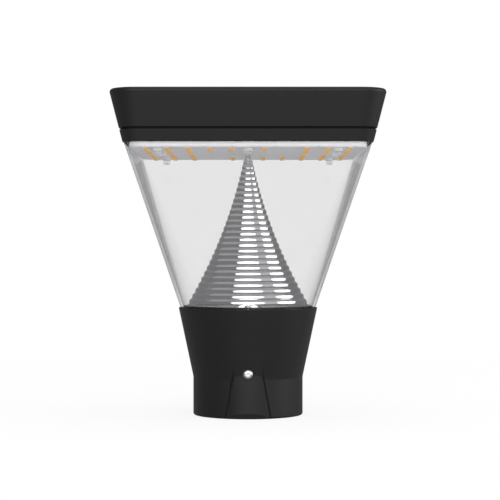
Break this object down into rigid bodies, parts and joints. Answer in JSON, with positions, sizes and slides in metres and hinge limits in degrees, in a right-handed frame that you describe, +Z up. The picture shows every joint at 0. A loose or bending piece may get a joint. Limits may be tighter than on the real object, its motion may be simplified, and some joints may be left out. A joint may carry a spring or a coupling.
{
  "type": "post-top lantern",
  "caption": "Square black post-top garden lantern with a clear tapered diffuser, stepped chrome reflector cone and a round socket base clamped to a post by screws.",
  "frame": {"origin": "on the lantern's axis, at the foot of the round collar", "axes": "+Z up along the axis, -Y towards the front, the side with a clamp screw at its middle"},
  "size_m": [0.2602, 0.2602, 0.316],
  "materials": {
    "black_powder_coat": "satin",
    "clear_polycarbonate": "clear gloss",
    "black_seal": "matte",
    "white_coat": "matte",
    "white_board": "satin",
    "amber_package": "satin",
    "chrome_plate": "mirror",
    "stainless": "bright",
    "zinc_steel": "satin",
    "grey_plastic": "matte",
    "white_plastic": "matte",
    "cable_jacket": "matte"
  },
  "bodies": {
    "lantern": {"base_casting": "black_powder_coat", "lower_gasket": "black_seal", "diffuser": "clear_polycarbonate", "upper_gasket": "black_seal", "lens_frame": "black_powder_coat", "reveal_gasket": "black_seal", "top_cover": "black_powder_coat", "cover_screws": "zinc_steel", "heat_spreader": "white_coat", "led_board": "white_board", "led_packages": "amber_package", "board_spacers": "white_plastic", "board_screws": "white_plastic", "lens_clips": "zinc_steel", "clip_screws": "zinc_steel", "reflector_cone": "chrome_plate", "cone_screws": "stainless", "wire_tube": "chrome_plate", "tube_nuts": "zinc_steel", "deck_plate": "zinc_steel", "deck_screws": "zinc_steel", "driver_case": "grey_plastic", "driver_screws": "zinc_steel", "terminal_block": "white_plastic", "terminal_screws": "zinc_steel", "inlet_grommet": "black_seal", "lead_grommet": "black_seal", "board_plug": "white_plastic", "output_lead": "cable_jacket", "supply_lead": "cable_jacket"},
    "front_screw": {"clamp_screw_front": "stainless"},
    "right_screw": {"clamp_screw_right": "stainless"},
    "left_screw": {"clamp_screw_left": "stainless"}
  },
  "joints": [
    {"name": "front_screw_travel", "type": "slide", "parent": "lantern", "child": "front_screw", "axis": [0, -1, 0], "range_m": [0, 0.012]},
    {"name": "right_screw_travel", "type": "slide", "parent": "lantern", "child": "right_screw", "axis": [0.866, 0.5, 0], "range_m": [0, 0.012]},
    {"name": "left_screw_travel", "type": "slide", "parent": "lantern", "child": "left_screw", "axis": [-0.866, 0.5, 0], "range_m": [0, 0.012]}
  ]
}
